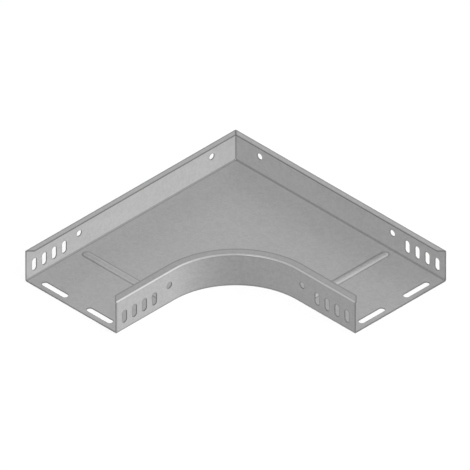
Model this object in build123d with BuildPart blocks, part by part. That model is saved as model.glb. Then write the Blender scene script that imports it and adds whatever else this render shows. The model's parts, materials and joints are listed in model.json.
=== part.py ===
from build123d import *
import os
from math import cos, degrees, radians, sin, sqrt

# Driving dimensions, in millimetres

# The tray and its sheet
leg_length = 470.0  # outer corner to open end, along each leg
clear_width = 200.0  # between the inside faces of the side walls
side_height = 60.0  # underside of the floor to the top of the lips
sheet = 1.5
fold_radius = 1.5  # inside radius of every fold

# The bend and the lips
end_run = 130.0  # straight part of the inner side wall, from the open end
outer_lip = 12.0  # width over the outside face of the outer walls
inner_lip = 15.0  # width over the outside face of the inner side wall

# The seam at the outer corner
seam_gap = 0.3
lip_slit = 0.6

# Upright slots at each end of the side walls, measured from the open end
wall_slots = 4
wall_slot_width = 10.0
wall_slot_length = 23.0
wall_slot_first = 18.6
wall_slot_pitch = 22.25
wall_slot_height = 24.0

# Round holes in the side walls
hole_diameter = 11.0
hole_height = 33.8
hole_to_bend = 11.3  # back from the start of the bend
hole_from_corner = 55.0

# Slots across the floor at each open end
floor_slot_width = 11.0
floor_slot_length = 55.0
floor_slot_from_end = 15.0
floor_slot_spacing = 100.0

# The stiffening bead pressed up across the floor of each leg, in line with the round holes
bead_width = 14.0
bead_height = 2.5
bead_margin = 12.0  # from the tip of a bead to the outside face of the side wall

# Tabs turned up from the floor's inner edge, spot-welded to the inner side wall
tab_width = 20.0
tab_relief = 1.0
tab_clearance = 2.5  # from the tops of the tabs to the upright slots
tab_from_end = 40.0
tab_to_bend = 27.0  # back from the start of the bend
arc_tab_angle = 26.0  # from the middle tab of the arc to the next one
weld_mark_diameter = 5.0
weld_mark_depth = 0.2

# Sizes that follow
half = leg_length / 2
fold = sheet + fold_radius  # outside radius of a fold
leg_width = clear_width + 2 * sheet
inside_face = leg_width - sheet  # inside face of the inner side wall, from the outer wall
arc_centre = leg_length - end_run  # from each outer wall
arc_radius = arc_centre - leg_width  # to the outside face of the inner side wall
seat_radius = arc_radius + sheet  # to the face that the floor and the tabs meet
hole_from_end = end_run - hole_to_bend
tab_height = wall_slot_height - wall_slot_length / 2 - tab_clearance

# The two surfaces of a bead share one axis, so that the sheet keeps its thickness
bead_crown = (bead_width**2 / 4 + bead_height**2) / (2 * bead_height)
bead_axis_height = sheet + bead_height - bead_crown

# Planes and axes: the outer corner is at -x, +y, and the legs run from it along -y and +x
outer_corner = Plane(origin=(-half, half, 0))
open_end = Plane(origin=(-half, -half, 0), x_dir=(1, 0, 0), z_dir=(0, -1, 0))
floor_end = Plane(origin=(-half, -half, 0))
arc_start = open_end.offset(-end_run)
mirror_plane = Plane(origin=(0, 0, 0), x_dir=(1, -1, 0), z_dir=(1, 1, 0))
arc_axis = Axis((arc_centre - half, half - arc_centre, 0), (0, 0, 1))


def wall_plane(distance):
    """Upright plane along the first leg, this far from its outer face, from the open end."""
    return Plane(origin=(distance - half, -half, 0), x_dir=(0, 1, 0), z_dir=(1, 0, 0))


def arc_plane(angle):
    """Upright plane out from the axis of the arc, this many degrees round from the first leg."""
    turn = radians(angle)
    outward = (-cos(turn), sin(turn), 0)
    return Plane(arc_axis.position, x_dir=outward, z_dir=(sin(turn), cos(turn), 0))


def folded_section(plane, *points):
    """Section of folded sheet that lies to the left of a path along its outside faces."""
    with BuildSketch(plane) as section:
        with BuildLine():
            FilletPolyline(*points, radius=fold)
            offset(amount=sheet, side=Side.LEFT)
        make_face()
    return section.sketch


def press_weld_mark(tab_face):
    """Shallow round mark that the welding electrode leaves in the middle of a tab's flat."""
    with BuildSketch(tab_face) as mark:
        with Locations((0, (fold + tab_height) / 2)):
            Circle(weld_mark_diameter / 2)
    extrude(mark.sketch, amount=weld_mark_depth, mode=Mode.SUBTRACT)


def fold_straight_tab(from_end):
    """Turn a tab up from the floor's straight inner edge, this far from the open end."""
    middle = open_end.offset(-from_end)
    with BuildSketch(middle) as notch:
        with Locations((inside_face, 0)):
            Rectangle(fold, sheet, align=(Align.MAX, Align.MIN))
    extrude(notch.sketch, amount=tab_width / 2 + tab_relief, both=True, mode=Mode.SUBTRACT)
    root = inside_face - 2 * fold
    tab = folded_section(middle, (root, 0), (inside_face, 0), (inside_face, tab_height))
    extrude(tab, amount=tab_width / 2, both=True)
    tab_face = middle.from_local_coords((inside_face - sheet, 0, 0))
    press_weld_mark(Plane(tab_face, x_dir=-middle.z_dir, z_dir=middle.x_dir))


def fold_arc_tab(angle):
    """Turn a tab up from the floor's curved inner edge, this many degrees from the first leg."""
    middle = arc_plane(angle)
    half_tab = degrees(tab_width / 2 / seat_radius)
    half_notch = degrees((tab_width / 2 + tab_relief) / seat_radius)
    with BuildSketch(arc_plane(angle - half_notch)) as notch:
        with Locations((seat_radius, 0)):
            Rectangle(fold, sheet, align=(Align.MIN, Align.MIN))
    revolve(notch.sketch, axis=arc_axis, revolution_arc=-2 * half_notch, mode=Mode.SUBTRACT)
    root = seat_radius + 2 * fold
    tab = folded_section(
        arc_plane(angle - half_tab), (seat_radius, tab_height), (seat_radius, 0), (root, 0)
    )
    revolve(tab, axis=arc_axis, revolution_arc=-2 * half_tab)
    tab_face = middle.from_local_coords((seat_radius + sheet, 0, 0))
    press_weld_mark(Plane(tab_face, x_dir=middle.z_dir, z_dir=-middle.x_dir))


def cut_end_holes(distance, *more_holes):
    """Slots and holes through the first leg's side wall that has its outer face this far out."""
    slots = [(wall_slot_first + i * wall_slot_pitch, wall_slot_height) for i in range(wall_slots)]
    with BuildSketch(wall_plane(distance)) as holes:
        with Locations(*slots):
            SlotOverall(wall_slot_length, wall_slot_width, rotation=90)
        with Locations((hole_from_end, hole_height), *more_holes):
            Circle(hole_diameter / 2)
    extrude(holes.sketch, amount=sheet, mode=Mode.SUBTRACT)


def cut_lip_end(bend_line, lip_edge):
    """Cut a lip off at 45 degrees, from its bend line to its edge, at the first leg's open end."""
    with BuildSketch(floor_end.offset(side_height - sheet)) as corner:
        with BuildLine():
            Polyline((bend_line, 0), (lip_edge, 0), (lip_edge, abs(lip_edge - bend_line)), close=True)
        make_face()
    extrude(corner.sketch, amount=sheet, mode=Mode.SUBTRACT)


def bead_form(radius):
    """Round bar with ball ends, as far as it stands above the underside of the floor."""
    bar_length = leg_width - 2 * bead_margin - bead_width
    with BuildPart() as form:
        with BuildSketch(floor_end.offset(bead_axis_height)):
            with Locations((leg_width / 2, hole_from_end)):
                SlotCenterToCenter(bar_length, 2 * radius)
            with Locations((leg_width / 2, hole_from_end - radius)):
                Rectangle(leg_width, 2 * radius, mode=Mode.SUBTRACT)
        revolve(axis=Axis((0, hole_from_end - half, bead_axis_height), (1, 0, 0)))
        split(bisect_by=Plane.XY, keep=Keep.TOP)
    return form.part


bead_top = bead_form(bead_crown)
bead_hollow = bead_form(bead_crown - sheet)

# Tray body: floor, outer side walls, lips, beads and tabs, folded from one sheet
with BuildPart() as tray_body:
    with BuildSketch(outer_corner):
        with BuildLine():
            rim = Polyline(
                (arc_centre, -inside_face),
                (leg_length, -inside_face),
                (leg_length, -fold),
                (fold, -fold),
                (fold, -leg_length),
                (inside_face, -leg_length),
                (inside_face, -arc_centre),
            )
            RadiusArc(rim @ 1, rim @ 0, seat_radius)
        make_face()
    extrude(amount=sheet)
    fold_straight_tab(tab_from_end)
    fold_straight_tab(end_run - tab_to_bend)
    fold_arc_tab(45 - arc_tab_angle)
    fold_arc_tab(45)

    outer_section = folded_section(
        open_end, (outer_lip, side_height), (0, side_height), (0, 0), (2 * fold, 0)
    )
    extrude(outer_section, amount=-leg_length)
    cut_end_holes(0, (leg_length - hole_from_corner, hole_height))
    cut_lip_end(fold, outer_lip)

    with BuildSketch(floor_end):
        with Locations((leg_width / 2, floor_slot_from_end)):
            with GridLocations(floor_slot_spacing, 1, 2, 1):
                SlotOverall(floor_slot_length, floor_slot_width)
    extrude(amount=sheet, mode=Mode.SUBTRACT)
    add(bead_top)
    add(bead_hollow, mode=Mode.SUBTRACT)

    split(bisect_by=mirror_plane, keep=Keep.BOTTOM)
    mirror(about=mirror_plane)

    # Corner seam: one wall butts against the other, and the folds meet in mitre slits
    with BuildSketch(outer_corner):
        Rectangle(sqrt(2) * fold, seam_gap, rotation=-45, align=(Align.MIN, Align.CENTER))
    extrude(amount=fold, mode=Mode.SUBTRACT)
    with BuildSketch(outer_corner.offset(fold)):
        with Locations((sheet, 0)):
            Rectangle(seam_gap, sheet, align=(Align.MIN, Align.MAX))
    extrude(amount=side_height - 2 * fold, mode=Mode.SUBTRACT)
    with BuildSketch(outer_corner.offset(fold), outer_corner.offset(side_height - fold - seam_gap)):
        Rectangle(sheet + seam_gap, sheet, align=(Align.MIN, Align.MAX))
    extrude(amount=seam_gap, mode=Mode.SUBTRACT)
    slit_length = sqrt(2) * outer_lip + lip_slit
    with BuildSketch(outer_corner.offset(side_height - fold)):
        Rectangle(slit_length, lip_slit, rotation=-45, align=(Align.MIN, Align.CENTER))
    extrude(amount=fold, mode=Mode.SUBTRACT)

tray_body.part.label = "tray_body"

# Inner side wall: a strip with one lip, rolled round the inside of the bend
with BuildPart() as inner_side_wall:
    rolled = [
        (leg_width, 0),
        (leg_width, side_height),
        (leg_width - inner_lip, side_height),
    ]
    extrude(folded_section(open_end, *rolled), amount=-end_run)
    cut_end_holes(inside_face)
    cut_lip_end(leg_width - fold, leg_width - inner_lip)
    mirror(about=mirror_plane)
    revolve(folded_section(arc_start, *rolled), axis=arc_axis, revolution_arc=-90)

inner_side_wall.part.label = "inner_side_wall"

os.makedirs("parts", exist_ok=True)
export_step(tray_body.part, "parts/tray_body.step")
export_step(inner_side_wall.part, "parts/inner_side_wall.step")
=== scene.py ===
import json
from functools import reduce
from math import cos, radians, sin, sqrt

import bmesh
import bpy
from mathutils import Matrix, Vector


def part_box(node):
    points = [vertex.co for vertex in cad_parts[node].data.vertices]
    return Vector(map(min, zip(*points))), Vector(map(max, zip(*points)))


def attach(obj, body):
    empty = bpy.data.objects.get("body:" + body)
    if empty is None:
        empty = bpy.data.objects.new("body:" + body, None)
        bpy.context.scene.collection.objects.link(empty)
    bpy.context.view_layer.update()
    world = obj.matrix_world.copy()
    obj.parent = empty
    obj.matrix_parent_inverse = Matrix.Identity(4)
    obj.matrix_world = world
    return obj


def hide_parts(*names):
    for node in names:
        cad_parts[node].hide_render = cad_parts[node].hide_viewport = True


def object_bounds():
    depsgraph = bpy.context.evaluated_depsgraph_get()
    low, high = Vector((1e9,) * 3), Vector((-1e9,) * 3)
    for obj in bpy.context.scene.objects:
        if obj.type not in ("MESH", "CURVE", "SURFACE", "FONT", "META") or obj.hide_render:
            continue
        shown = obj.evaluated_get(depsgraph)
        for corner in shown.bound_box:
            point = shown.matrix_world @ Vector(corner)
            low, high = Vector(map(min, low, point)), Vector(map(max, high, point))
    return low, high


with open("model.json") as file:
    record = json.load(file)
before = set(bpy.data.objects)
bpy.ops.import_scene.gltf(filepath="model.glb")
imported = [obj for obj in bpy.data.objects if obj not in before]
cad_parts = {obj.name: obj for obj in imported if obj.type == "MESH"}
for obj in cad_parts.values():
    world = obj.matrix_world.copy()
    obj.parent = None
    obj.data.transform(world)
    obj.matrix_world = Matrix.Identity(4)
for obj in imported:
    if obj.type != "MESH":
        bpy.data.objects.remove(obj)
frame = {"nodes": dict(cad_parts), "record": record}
cad_low, cad_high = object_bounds()

# Sizes of the folded sheet, in metres
sheet = 0.0015
fold = 0.003  # outside radius of a fold
outer_lip = 0.012
inner_lip = 0.015
end_run = 0.130  # straight part of the inner wall, from the open end
bead_width = 0.014
bead_margin = 0.012  # from the tip of a bead to the outside face of the side wall
bead_from_end = 0.1187

# Punched slots and holes: width and length
wall_slot = (0.010, 0.023)
floor_slot = (0.011, 0.055)
round_hole = (0.011, 0.011)

# The ring of metal that the punch pushes up round each of them
burr_width = 0.0006
burr_height = 0.00012
burr_corner = 0.4995  # radius of its corners over its width: at half, two of them would meet
burr_joint = 2e-5  # joins the points that stay this close between two such corners

# Spot welds on the tabs of the floor's inner edge
weld_mark = 0.005  # diameter of the electrode's mark
weld_height = 0.0065
weld_from_end = (0.040, 0.103)
weld_angles = (19, 45, 71)

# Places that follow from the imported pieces
half = cad_high.x
side_height = cad_high.z
leg_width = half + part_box("inner_side_wall")[0].x + inner_lip
arc_centre = half - end_run  # along +x, and the same along -y
arc_radius = 2 * half - end_run - leg_width


def first_leg(station, across, height):
    """Point this far from the first leg's open end and from its outer wall."""
    return Vector((across - half, station - half, height))


def other_leg(point):
    """The same place in the second leg, across the diagonal."""
    return Vector((-point.y, -point.x, point.z))


def round_the_arc(angle, radius, height):
    """Point on the bend, this many degrees round from the first leg."""
    turn = radians(angle)
    return Vector((arc_centre - radius * cos(turn), radius * sin(turn) - arc_centre, height))


def linked_object(name, data):
    """New object at the origin, in the scene."""
    made = bpy.data.objects.new(name, data)
    bpy.context.scene.collection.objects.link(made)
    return made


def add_node(tree, kind, settings, inputs):
    """One node, with its settings made before its sockets are filled or linked."""
    node = tree.nodes.new(kind)
    for key, value in (settings or {}).items():
        setattr(node, key, value)
    pairs = inputs.items() if isinstance(inputs, dict) else enumerate(inputs)
    for key, value in pairs:
        source = value.socket if isinstance(value, Field) else value
        if isinstance(source, bpy.types.NodeSocket):
            tree.links.new(source, node.inputs[key])
        else:
            node.inputs[key].default_value = source
    return node


class Field:
    """A value that varies over a surface. Python's operators on it add Math nodes."""

    def __init__(self, look, socket):
        self.look, self.socket = look, socket

    def math(self, operation, *others):
        return self.look.add("Math", {"operation": operation}, (self, *others))

    def __add__(self, other):
        return self.math("ADD", other)

    def __sub__(self, other):
        return self.math("SUBTRACT", other)

    def __rsub__(self, other):
        return self.look.add("Math", {"operation": "SUBTRACT"}, (other, self))

    def __mul__(self, other):
        return self.math("MULTIPLY", other)

    def __truediv__(self, other):
        return self.math("DIVIDE", other)

    def __abs__(self):
        return self.math("ABSOLUTE")

    def __neg__(self):
        return self * -1

    __radd__ = __add__

    def least(self, other):
        return self.math("MINIMUM", other)

    def most(self, other):
        return self.math("MAXIMUM", other)

    def ramp(self, low, high):
        """0 below low, 1 above high, and smooth between them."""
        steps = {"Value": self, "From Min": low, "From Max": high}
        return self.look.add("MapRange", {"interpolation_type": "SMOOTHSTEP"}, steps)

    def line(self, width):
        """1 where this value is zero, falling away over the width on both sides."""
        share = self / width
        return (-(share * share)).math("EXPONENT")


class Look:
    """A material or a world under construction."""

    def __init__(self, owner):
        self.owner = owner
        owner.use_nodes = True
        self.tree = owner.node_tree
        self.tree.nodes.clear()

    def add(self, kind, settings=None, inputs=(), output=0):
        node = add_node(self.tree, "ShaderNode" + kind, settings, inputs)
        return Field(self, node.outputs[output])

    def split(self, vector):
        parts = self.add("SeparateXYZ", inputs=(vector,))
        return [Field(self, output) for output in parts.socket.node.outputs]

    def noise(self, vector, scale, detail=2.0):
        inputs = {"Vector": vector, "Scale": scale, "Detail": detail}
        return self.add("TexNoise", inputs=inputs)

    def crystals(self, vector, scale):
        """One random value for each grain of the zinc."""
        colour = self.add("TexVoronoi", inputs={"Vector": vector, "Scale": scale}, output="Color")
        return self.add("SeparateColor", inputs=(colour,))

    def mix(self, share, first, second):
        return self.add("Mix", {"data_type": "RGBA"}, {0: share, 6: first, 7: second}, output=2)

    def seen(self):
        """1 for what the camera sees, by itself or in a reflection, and 0 for what only lights."""
        camera = self.add("LightPath", output="Is Camera Ray")
        return camera.most(self.add("LightPath", output="Is Glossy Ray"))

    def metal_surface(self, colour, metallic, roughness, relief, depth):
        """The material with this finish, and the relief as a fine bump."""
        inputs = {"Strength": depth, "Distance": relief_height, "Height": relief}
        skin = {
            "Base Color": colour,
            "Metallic": metallic,
            "Roughness": roughness,
            "Normal": self.add("Bump", inputs=inputs),
        }
        return self.finish(self.add("BsdfPrincipled", inputs=skin))

    def finish(self, shader, kind="OutputMaterial"):
        add_node(self.tree, "ShaderNode" + kind, None, {"Surface": shader})
        return self.owner


def grey(level):
    """Neutral colour from its linear level."""
    return (level, level, level, 1)


# Widths of the marks on the zinc
die_width = 0.0007  # of the line that a folding tool leaves
press_width = 0.0012  # of the line round the foot of a pressed bead
rim_width = 0.0014  # of the dulled rim beside a sheared edge
rolled_rim_width = 0.002  # of the same rim on the inner wall's strip
mitre_width = 0.0008  # of the painted shade along the slit between the outer lips
ring_width = 0.0003  # of the edge of a spot weld's mark
heat_reach = (0.002, 0.0065)  # full heat tint this near to a weld's middle, and none this far away

# Grain of the zinc: scales of its patterns, by the metre
coarse_crystals = 230.0
fine_crystals = 700.0
drift_scale = 90.0  # of the noise that bends the outlines of the crystals
drift_reach = 0.004  # how far it moves them, in metres
streaks_along = 9.0
streaks_across = 2200.0
cloud_scale = 11.0

# Fine marks across the thickness of a cut edge, by the metre
shear_scale = 1400.0

# Bump: its height in metres, and how strongly each finish shows it
relief_height = 0.0002
zinc_relief = 0.12
shear_relief = 0.25

# Finishes, as linear levels
# painted highlight: light grey for the crest of the inner wall's top fold
painted_fold_highlight = grey(0.62)
zinc_bright = grey(0.41)
zinc_dull = grey(0.295)
shaded_strip_bright = grey(0.34)  # the inner wall's strip: its own slightly darker tone, plus painted shade that offsets the white floor's reflection in it
shaded_strip_dull = grey(0.24)
# worn zinc for tool lines, rims and weld rings, and painted shade along the body's folds
zinc_worn_and_shade = grey(0.13)
steel_edge = grey(0.10)
steel_torn = grey(0.18)
# painted shade: near black for the inside of the slit between the outer lips
slit_shade = grey(0.03)
heat_straw = (0.20, 0.16, 0.11, 1)
zinc_metallic = 0.3
rolled_metallic = 0.15
steel_metallic = 0.4
zinc_roughness = 0.36
steel_roughness = 0.5
wear = 0.8  # how far a mark takes the zinc to its worn colour

# The studio floor, as linear levels
floor_seen = grey(0.8)
floor_glow = 0.18  # lifts it to the picture's white, away from the shadow
floor_unseen = grey(0.2)  # as it lights the sheet

# Where marks fade out
turned_share = (0.55, 0.8)  # share of a face's normal along an axis: not turned to it, and turned
crest_share = 0.55  # share of a fold's radius that is crest all over


class SheetPoint:
    """Where a point of the sheet lies, and which way its face is turned."""

    def __init__(self, look):
        self.place = look.add("TexCoord", output="Object")
        self.x, self.y, self.z = look.split(self.place)
        self.facing = look.split(look.add("NewGeometry", output="Normal"))

    def turned(self, axis):
        """1 on faces that look along this axis, 0 on those that are turned well away from it."""
        return abs(self.facing[axis]).ramp(*turned_share)

    def below_lips(self):
        """0 on the lips, and out of reach of any mark below them."""
        return 1 - self.z.ramp(side_height - 2 * sheet, side_height - 1.5 * sheet)


def bead_foot(at):
    """Distance to the outline of either bead, across the floor."""
    straight = leg_width / 2 - bead_margin - bead_width / 2
    outlines = []
    for along, sideways in ((at.y + half, at.x + half), (half - at.x, half - at.y)):
        past_end = (abs(sideways - leg_width / 2) - straight).most(0.0)
        beside = along - bead_from_end
        reach = (past_end * past_end + beside * beside).math("SQRT")
        outlines.append(abs(reach - bead_width / 2))
    return outlines[0].least(outlines[1])


def sheared_rim(at, from_edge, lip):
    """Distance to the nearest open end, lip edge or cut-off lip end."""
    along = (at.y + half).least(half - at.x)
    lip_end = abs(from_edge - fold - along) / sqrt(2)
    return along.least(abs(from_edge - lip).least(lip_end) + at.below_lips())


def corner_seam(at):
    """Distances to the corner where the outer walls butt, and to the mitre between their lips."""
    butt = (at.x + half).most(half - at.y) - sheet
    mitre = abs(at.x + at.y) / sqrt(2) + at.below_lips()
    return abs(butt), mitre


def folding_lines(at, from_edge, folds):
    """The lines that folding tools leave beside each fold, on level faces and on upright ones."""
    level = at.turned(2)
    return (from_edge - fold).line(die_width) * level + (folds - fold).line(die_width) * (1 - level)


def fold_crest(from_edge, folds):
    """1 along the outside of each fold, and 0 on the flats beside it."""
    return 1 - from_edge.most(folds).ramp(crest_share * fold, fold)


def zinc_grain(look, at, across_grain):
    """The zinc's crystals, the streaks that rolling left, and the tone that both give it."""
    drift = look.add("TexNoise", inputs={"Vector": at.place, "Scale": drift_scale}, output="Color")
    reach = (drift_reach, drift_reach, drift_reach)
    warped = look.add("VectorMath", {"operation": "MULTIPLY_ADD"}, (drift, reach, at.place))
    coarse, fine = (look.crystals(warped, scale) for scale in (coarse_crystals, fine_crystals))
    crystals = coarse * 0.6 + fine * 0.4
    drawn_out = (at.x * streaks_along, (at.y + at.z) * streaks_along, across_grain * streaks_across)
    streaks = look.noise(look.add("CombineXYZ", inputs=drawn_out), 1.0)
    clouds = look.noise(at.place, cloud_scale, detail=3.0)
    return crystals, streaks, crystals * 0.55 + streaks * 0.30 + clouds * 0.15


def zinc_surface(look, colour, metallic, crystals, streaks, rougher):
    """Sheet of this colour, with the roughness and the relief of its crystals and streaks."""
    roughness = zinc_roughness + crystals * 0.2 + streaks * 0.06 + rougher
    relief = crystals * 0.5 + streaks * 0.5
    return look.metal_surface(colour, metallic, roughness, relief, zinc_relief)


def weld_places():
    """Middle of each spot weld, on the channel side of its tab."""
    across = leg_width - 2 * sheet
    straight = [first_leg(station, across, weld_height) for station in weld_from_end]
    curved = [round_the_arc(angle, arc_radius + 2 * sheet, weld_height) for angle in weld_angles]
    return straight + curved + [other_leg(place) for place in straight]


def welded(look, at, colour):
    """The colour with a straw tint round each spot weld, and a dark ring at its mark's edge."""
    distance = {"operation": "DISTANCE"}
    away = [look.add("VectorMath", distance, (at.place, weld), "Value") for weld in weld_places()]
    nearest = reduce(Field.least, away)
    heat = 1 - nearest.ramp(*heat_reach)
    ring = (nearest - weld_mark / 2).line(ring_width)
    return look.mix(ring * 0.7, look.mix(heat * 0.5, colour, heat_straw), zinc_worn_and_shade)


def body_zinc(name):
    """Zinc of the folded body, with painted shade along its folds, worn at its rims and tinted by its
    welds.
    """
    look = Look(bpy.data.materials.new(name))
    at = SheetPoint(look)
    from_edge = (at.x + half).least(half - at.y)
    folds = at.z.least(side_height - at.z)
    crystals, streaks, tone = zinc_grain(look, at, at.y + at.z * at.turned(1))

    tools = folding_lines(at, from_edge, folds) + bead_foot(at).line(press_width) * at.turned(2)
    butt, mitre = corner_seam(at)
    rims = sheared_rim(at, from_edge, outer_lip).least(butt).least(mitre).line(rim_width)
    worn = (tools + rims).least(1.0) * wear
    crest = fold_crest(from_edge, folds)

    colour = look.mix(tone, zinc_dull, zinc_bright)
    # painted shade: the crest of each fold is darkened
    colour = look.mix(crest * 0.4, colour, zinc_worn_and_shade)
    colour = look.mix(worn, colour, zinc_worn_and_shade)
    # painted shade along the slit between the outer lips
    colour = look.mix(mitre.line(mitre_width), colour, slit_shade)
    colour = welded(look, at, colour)
    return zinc_surface(look, colour, zinc_metallic, crystals, streaks, crest * 0.3 - worn * 0.1)


def rolled_zinc(name):
    """Zinc of the rolled inner wall: a darker tone with painted shade against the white floor it reflects,
    fainter tool lines, and a painted highlight along its fold.
    """
    look = Look(bpy.data.materials.new(name))
    at = SheetPoint(look)
    leftward = (arc_centre - at.x).most(0.0)
    upward = (at.y + arc_centre).most(0.0)
    from_edge = (leftward * leftward + upward * upward).math("SQRT") - arc_radius
    folds = side_height - at.z
    crystals, streaks, tone = zinc_grain(look, at, from_edge + at.z)

    tools = folding_lines(at, from_edge, folds) * 0.4
    rims = sheared_rim(at, from_edge, inner_lip).least(at.z).line(rolled_rim_width)
    worn = (tools + rims).least(1.0) * wear
    crest = fold_crest(from_edge, folds)

    # painted shade: the strip's zinc is darker to offset the white floor it reflects, and partly it is the
    # strip's own tone
    colour = look.mix(tone, shaded_strip_dull, shaded_strip_bright)
    # painted highlight: the crest of the top fold is lightened towards a light grey
    colour = look.mix(crest * 0.3, colour, painted_fold_highlight)
    colour = look.mix(worn, colour, zinc_worn_and_shade)
    smoother = crest * -0.12 - worn * 0.1
    return zinc_surface(look, colour, rolled_metallic, crystals, streaks, smoother)


def sheared_edge(name):
    """Bare steel where the coated sheet was punched or cut, with fine marks across its thickness."""
    look = Look(bpy.data.materials.new(name))
    shear = look.noise(look.add("TexCoord", output="Object"), shear_scale)
    colour = look.mix(shear, steel_edge, steel_torn)
    roughness = steel_roughness + shear * 0.2
    return look.metal_surface(colour, steel_metallic, roughness, shear, shear_relief)


def pale_floor(name):
    """Floor that keeps its shadow: white to the camera and in reflections, and darker as a light."""
    look = Look(bpy.data.materials.new(name))
    shadowed = look.add("BsdfDiffuse", inputs={"Color": floor_seen})
    glow = look.add("Emission", inputs={"Color": grey(1.0), "Strength": floor_glow})
    white = look.add("AddShader", inputs=(shadowed, glow))
    plain = look.add("BsdfDiffuse", inputs={"Color": floor_unseen})
    return look.finish(look.add("MixShader", inputs=(look.seen(), plain, white)))


sharp_fold = radians(35)
edge_band = 0.0017  # a face this narrow, between two sharp edges, is the thickness of the sheet
same_point = 1e-6


def smooth_islands(bm):
    """Groups of faces that meet over smooth edges."""
    for edge in bm.edges:
        edge.smooth = edge.calc_face_angle(0.0) < sharp_fold
    waiting = set(bm.faces)
    while waiting:
        island = [waiting.pop()]
        for face in island:
            for edge in face.edges:
                if edge.smooth:
                    near = [other for other in edge.link_faces if other in waiting]
                    waiting.difference_update(near)
                    island.extend(near)
        yield island


def folded_piece(node, name, skin, bare):
    """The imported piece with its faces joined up: skin on the sheet's two sides, bare on its cut edges."""
    mesh = bpy.data.meshes.new(name)
    bm = bmesh.new()
    bm.from_mesh(frame["nodes"][node].data)
    bmesh.ops.remove_doubles(bm, verts=bm.verts, dist=same_point)
    for island in smooth_islands(bm):
        area = sum(face.calc_area() for face in island)
        rim = sum(edge.calc_length() for face in island for edge in face.edges if not edge.smooth)
        cut = 2 * area < edge_band * rim
        for face in island:
            face.material_index = 1 if cut else 0
            face.smooth = True
    bm.to_mesh(mesh)
    bm.free()
    mesh.materials.append(skin)
    mesh.materials.append(bare)
    piece = linked_object(name, mesh)
    flats = piece.modifiers.new("flats_stay_flat", "WEIGHTED_NORMAL")
    flats.keep_sharp = True
    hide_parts(node)
    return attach(piece, "root")


class Recipe:
    """A Geometry Nodes tree under construction, with named inputs."""

    def __init__(self, name, numbers):
        self.tree = bpy.data.node_groups.new(name, "GeometryNodeTree")
        face = self.tree.interface
        face.new_socket("Geometry", socket_type="NodeSocketGeometry")
        named = {number: "NodeSocketFloat" for number in numbers}
        named["material"] = "NodeSocketMaterial"
        self.sockets = {key: face.new_socket(key, socket_type=kind) for key, kind in named.items()}
        face.new_socket("Geometry", in_out="OUTPUT", socket_type="NodeSocketGeometry")
        self.inputs = self.tree.nodes.new("NodeGroupInput").outputs

    def add(self, kind, settings=None, inputs=()):
        return add_node(self.tree, kind, settings, inputs).outputs[0]

    def maths(self, operation, *values):
        return self.add("ShaderNodeMath", {"operation": operation}, values)

    def finish(self, geometry):
        add_node(self.tree, "NodeGroupOutput", None, (geometry,))


def burr_recipe():
    """Low ring of pushed-up metal round a punched slot, at each point, turned by the point's two arrows."""
    recipe = Recipe("punched_burr", ("width", "length", "burr_width", "burr_height"))
    source = recipe.inputs
    wide = recipe.maths("ADD", source["width"], source["burr_width"])
    long = recipe.maths("ADD", source["length"], source["burr_width"])
    outline = recipe.add("GeometryNodeCurvePrimitiveQuadrilateral", inputs={"Width": wide, "Height": long})
    corner = recipe.maths("MULTIPLY", wide, burr_corner)
    rounded = {"Curve": outline, "Radius": corner, "Limit Radius": True, "Count": 7}
    path = recipe.add("GeometryNodeFilletCurve", {"mode": "POLY"}, rounded)
    circle = recipe.add("GeometryNodeCurvePrimitiveCircle", inputs={"Resolution": 8, "Radius": 0.5})
    high = recipe.maths("MULTIPLY", source["burr_height"], 2.0)
    squash = recipe.add("ShaderNodeCombineXYZ", inputs=(source["burr_width"], high, 1.0))
    profile = recipe.add("GeometryNodeTransform", inputs={"Geometry": circle, "Scale": squash})
    ring = recipe.add("GeometryNodeCurveToMesh", inputs={"Curve": path, "Profile Curve": profile})
    clean = recipe.add("GeometryNodeMergeByDistance", inputs={"Geometry": ring, "Distance": burr_joint})
    arrow = {"data_type": "FLOAT_VECTOR"}
    arrows = [
        recipe.add("GeometryNodeInputNamedAttribute", arrow, {"Name": name})
        for name in ("burr_side", "long_way")
    ]
    axes = {"primary_axis": "Z", "secondary_axis": "Y"}
    turned = recipe.add("FunctionNodeAxesToRotation", axes, arrows)
    copies = {"Points": source["Geometry"], "Instance": clean, "Rotation": turned}
    placed = recipe.add("GeometryNodeInstanceOnPoints", inputs=copies)
    real = recipe.add("GeometryNodeRealizeInstances", inputs=(placed,))
    coated = {"Geometry": real, "Material": source["material"]}
    recipe.finish(recipe.add("GeometryNodeSetMaterial", inputs=coated))
    return recipe


def punched_places():
    """For each punched shape: the middle of each one's burr, the side it stands on and the way it runs."""
    places = {wall_slot: [], floor_slot: [], round_hole: []}
    for opening in frame["record"]["physics"]["openings"]:
        name = opening["name"]
        if "slot" not in name and "hole" not in name:
            continue
        low, high = (Vector(corner) for corner in opening["box_m"])
        first = name.startswith("first")
        if "floor" in name:
            shape, burr_side = floor_slot, Vector((0, 0, 1))
            long_way = Vector((1, 0, 0)) if first else Vector((0, 1, 0))
        else:
            shape = round_hole if "hole" in name else wall_slot
            burr_side = Vector((1, 0, 0)) if first else Vector((0, -1, 0))
            long_way = Vector((0, 0, 1))
        places[shape].append(((low + high) / 2 + burr_side * sheet / 2, burr_side, long_way))
    return places


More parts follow.
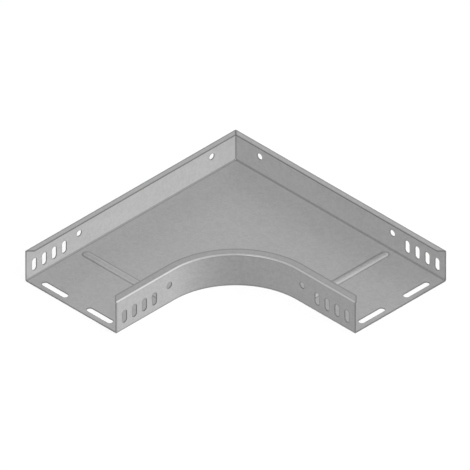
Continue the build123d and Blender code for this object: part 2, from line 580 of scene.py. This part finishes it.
def punched_burrs(name, material):
    """The burrs of every slot and hole as one mesh."""
    recipe = burr_recipe()
    bm = bmesh.new()
    for (width, length), places in punched_places().items():
        mesh = bpy.data.meshes.new("burr_points")
        mesh.from_pydata([middle for middle, _, _ in places], [], [])
        for i, arrow in enumerate(("burr_side", "long_way")):
            values = mesh.attributes.new(arrow, "FLOAT_VECTOR", "POINT")
            values.data.foreach_set("vector", [v for place in places for v in place[1 + i]])
        points = linked_object("burr_points", mesh)
        modifier = points.modifiers.new("burrs", "NODES")
        modifier.node_group = recipe.tree
        sizes = {"width": width, "length": length, "burr_width": burr_width, "burr_height": burr_height}
        for key, value in {**sizes, "material": material}.items():
            modifier[recipe.sockets[key].identifier] = value
        evaluated = points.evaluated_get(bpy.context.evaluated_depsgraph_get())
        made = bpy.data.meshes.new_from_object(evaluated)
        bm.from_mesh(made)
        bpy.data.objects.remove(points)
        bpy.data.meshes.remove(made)
    bmesh.ops.recalc_face_normals(bm, faces=bm.faces)
    for face in bm.faces:
        face.smooth = True
    mesh = bpy.data.meshes.new(name)
    bm.to_mesh(mesh)
    bm.free()
    mesh.materials.append(material)
    piece = linked_object(name, mesh)
    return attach(piece, "root")


def studio_floor(reach, gap):
    """Square floor, this far out from the middle of the tray and this far below it."""
    mesh = bpy.data.meshes.new("floor")
    corners = [(-reach, -reach), (reach, -reach), (reach, reach), (-reach, reach)]
    mesh.from_pydata([(x, y, cad_low.z - gap) for x, y in corners], [], [(0, 1, 2, 3)])
    mesh.materials.append(pale_floor("studio_floor"))
    linked_object("floor", mesh)


def lamp(name, toward, strength, spread, sheen):
    """A broad, distant, shadowless lamp that shines from this direction, with or without a sheen."""
    light = bpy.data.lights.new(name, "SUN")
    light.energy = strength
    light.angle = radians(spread)
    light.use_shadow = False
    made = linked_object(name, light)
    made.visible_glossy = sheen
    made.rotation_euler = Vector(toward).to_track_quat("Z", "Y").to_euler()


def studio_world(level):
    """Even grey light, white to the camera and in reflections."""
    world = bpy.data.worlds.new("studio")
    look = Look(world)
    strength = look.add("MapRange", inputs={"Value": look.seen(), "To Min": level, "To Max": 1.0})
    light = look.add("Background", inputs={"Color": grey(1.0), "Strength": strength})
    look.finish(light, "OutputWorld")
    bpy.context.scene.world = world


def isometric_camera(aim, distance, view_width):
    """Parallel view of a point from between the legs, with all three axes foreshortened alike."""
    camera = bpy.data.cameras.new("camera")
    camera.type = "ORTHO"
    camera.ortho_scale = view_width
    made = linked_object("camera", camera)
    back = Vector((1, -1, 1)).normalized()
    made.location = aim + back * distance
    made.rotation_euler = back.to_track_quat("Z", "Y").to_euler()
    bpy.context.scene.camera = made


bare_steel = sheared_edge("sheared_steel_edge")
folded_piece("tray_body", "folded_tray_body", body_zinc("galvanised_body"), bare_steel)
folded_piece("inner_side_wall", "rolled_inner_wall", rolled_zinc("galvanised_inner_wall"), bare_steel)
punched_burrs("punched_burrs", bare_steel)

studio_floor(reach=8.0, gap=0.0002)
studio_world(0.4)
lamp("side_lamp", (0.61, 0.79, 0.06), strength=5.95, spread=50, sheen=False)
lamp("front_lamp", (0.26, -0.92, 0.28), strength=1.92, spread=40, sheen=True)
lamp("left_lamp", (-0.58, -0.35, 0.74), strength=0.4, spread=25, sheen=True)
lamp("right_lamp", (0.39, 0.58, 0.72), strength=0.65, spread=25, sheen=True)
isometric_camera(aim=Vector((-0.0898, 0.0881, 0)), distance=2.0, view_width=0.7423)
bpy.context.scene.view_settings.view_transform = "Standard"
